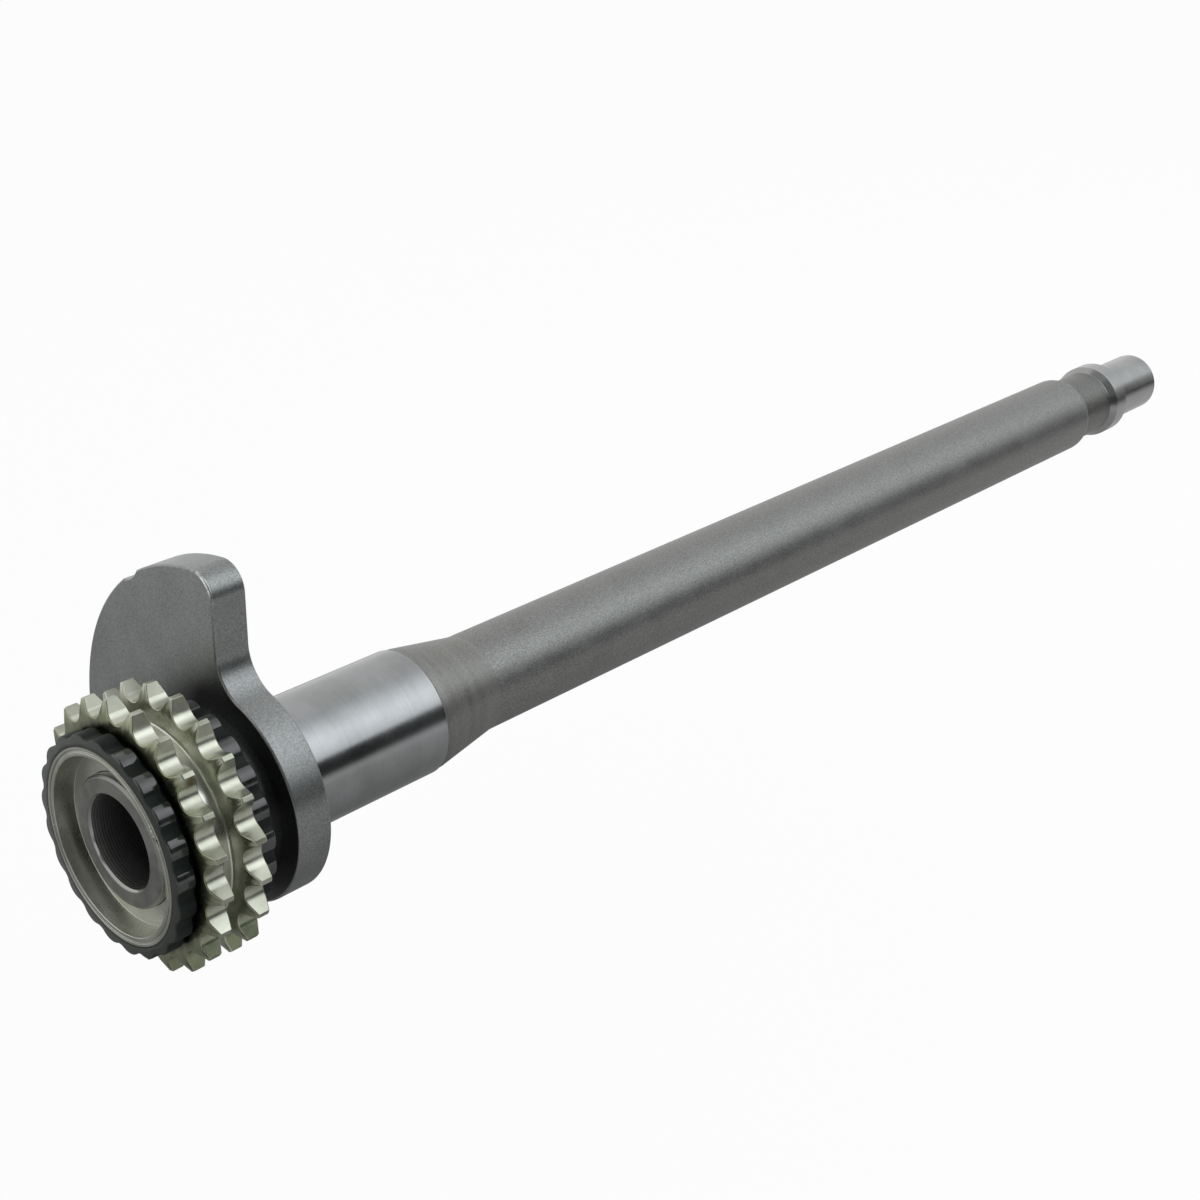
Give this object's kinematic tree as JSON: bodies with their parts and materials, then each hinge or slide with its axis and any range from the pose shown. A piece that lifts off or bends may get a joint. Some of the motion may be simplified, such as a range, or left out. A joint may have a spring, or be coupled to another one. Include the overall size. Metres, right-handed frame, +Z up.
{
  "type": "balance shaft",
  "caption": "Engine balance shaft: long turned steel shaft with a lobed counterweight, ground bearing journals and a pressed-on duplex chain sprocket with rubber damper rings.",
  "frame": {"origin": "on the shaft's axis at the middle of the front bearing journal", "axes": "+X along the shaft from the sprocket to the rear journal, +Z up, with the counterweight's lobe leaning from +Z towards +Y"},
  "size_m": [0.4575, 0.0887, 0.089],
  "materials": {
    "shaft_steel": "matte blasted forging with ground and polished journals",
    "sprocket_steel": "satin, pale warm steel",
    "damper_rubber": "moulded, semi-matte"
  },
  "bodies": {
    "root": {"balance_shaft": "shaft_steel", "drive_sprocket": "sprocket_steel", "front_damper_ring": "damper_rubber", "rear_damper_ring": "damper_rubber"}
  },
  "joints": []
}
